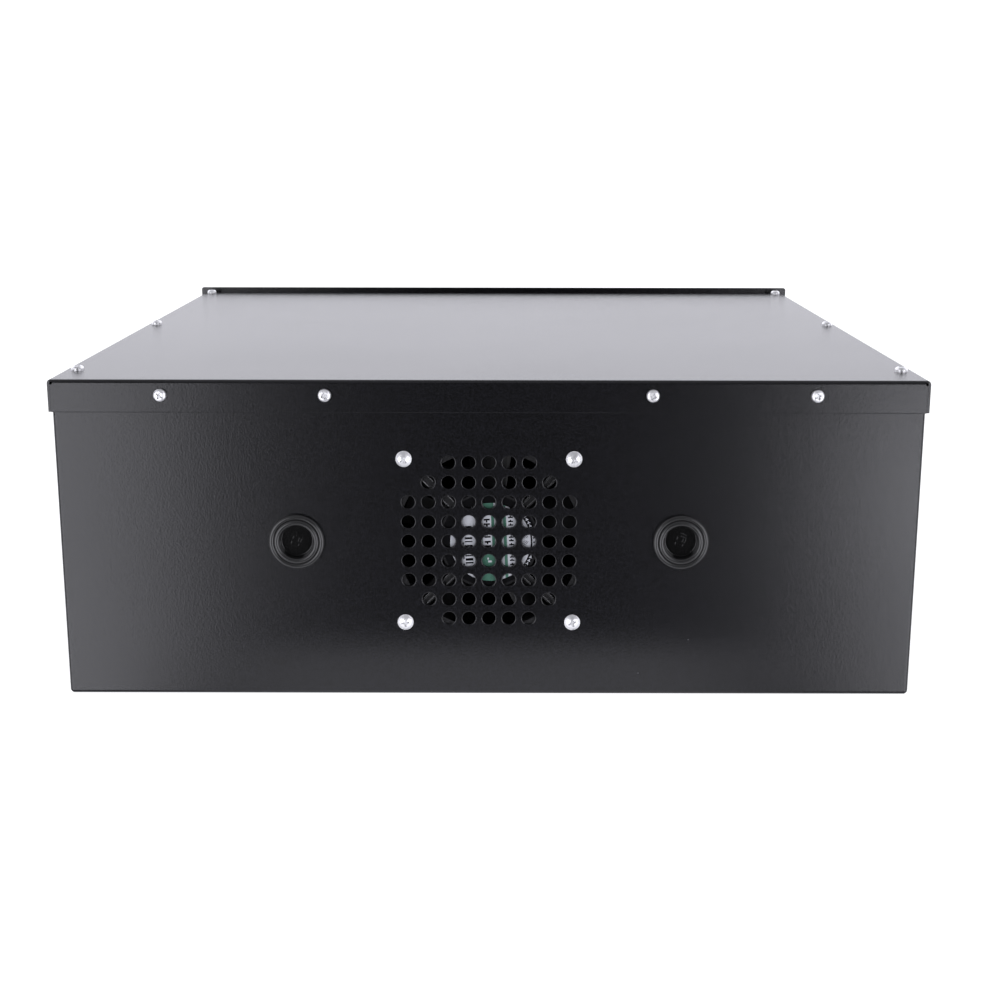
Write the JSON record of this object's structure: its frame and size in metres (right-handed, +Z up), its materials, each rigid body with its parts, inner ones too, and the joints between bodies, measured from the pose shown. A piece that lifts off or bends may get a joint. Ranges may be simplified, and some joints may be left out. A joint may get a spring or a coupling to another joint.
{
  "type": "fan-cooled equipment lock box",
  "caption": "Black sheet-steel equipment box with a screwed lid, a fan behind a punched grid in the rear wall, rubber-plugged cable entries and a fold-down locking front door.",
  "frame": {"origin": "centre of the underside", "axes": "+Z up, -Y towards the door at the front, +Y towards the fan and the cable plugs at the rear, +X to the right of a person facing the door"},
  "size_m": [0.544, 0.5422, 0.2064],
  "materials": {
    "black_powder_coat": "satin, fine orange peel",
    "bright_zinc": "bright zinc plate",
    "plain_steel": "satin zinc plate",
    "plug_rubber": "smooth moulded",
    "fan_casting": "black painted die casting",
    "fan_plastic": "matt",
    "fan_label_print": "printed film",
    "brass": "machined",
    "laminated_steel": "stacked laminations",
    "copper_wire": "enamelled wire",
    "lead_insulation": "matt",
    "lock_chrome": "polished"
  },
  "bodies": {
    "enclosure": {"body_shell": "black_powder_coat", "top_cover": "black_powder_coat", "front_plate": "black_powder_coat", "top_cover_screws": "bright_zinc", "rear_flange_screws": "bright_zinc", "fan_screws": "bright_zinc", "top_clinch_nuts": "plain_steel", "rear_clinch_nuts": "plain_steel", "fan_nuts": "plain_steel", "fan_lock_washers": "plain_steel", "cable_plug_left": "plug_rubber", "cable_plug_right": "plug_rubber", "fan_frame": "fan_casting", "fan_label": "fan_label_print", "fan_bearing_tube": "brass", "fan_stator_core": "laminated_steel", "fan_windings": "copper_wire", "fan_insulators": "fan_plastic", "fan_bearing_outer": "plain_steel", "fan_bearing_inner": "plain_steel", "fan_terminal_block": "fan_plastic", "fan_terminal_tabs": "brass", "fan_lead_wires": "lead_insulation", "hinge_plate_leaf": "plain_steel", "hinge_pin": "plain_steel"},
    "door": {"door": "black_powder_coat", "hinge_door_leaf": "plain_steel", "lock_housing_left": "lock_chrome", "lock_housing_right": "lock_chrome", "lock_nut_left": "plain_steel", "lock_nut_right": "plain_steel"},
    "fan_rotor": {"fan_shaft": "plain_steel", "fan_rotor_ring": "laminated_steel", "fan_rotor_cup": "plain_steel", "fan_impeller": "fan_plastic", "fan_retaining_clip": "plain_steel", "fan_thrust_washer": "fan_plastic"},
    "lock_left": {"lock_plug_left": "lock_chrome", "lock_cam_left": "plain_steel", "lock_washer_left": "plain_steel", "lock_cam_screw_left": "plain_steel"},
    "lock_right": {"lock_plug_right": "lock_chrome", "lock_cam_right": "plain_steel", "lock_washer_right": "plain_steel", "lock_cam_screw_right": "plain_steel"}
  },
  "joints": [
    {"name": "door_hinge", "type": "hinge", "parent": "enclosure", "child": "door", "pos_m": [0, -0.2625, 0.016], "axis": [1, 0, 0], "range_deg": [0, 90]},
    {"name": "lock_turn_left", "type": "hinge", "parent": "door", "child": "lock_left", "pos_m": [-0.18, -0.26, 0.168], "axis": [0, -1, 0], "range_deg": [0, 90]},
    {"name": "lock_turn_right", "type": "hinge", "parent": "door", "child": "lock_right", "pos_m": [0.18, -0.26, 0.168], "axis": [0, -1, 0], "range_deg": [0, 90]},
    {"name": "fan_spin", "type": "hinge", "parent": "enclosure", "child": "fan_rotor", "pos_m": [0, 0.246, 0.1005], "axis": [0, 1, 0], "continuous": true}
  ]
}
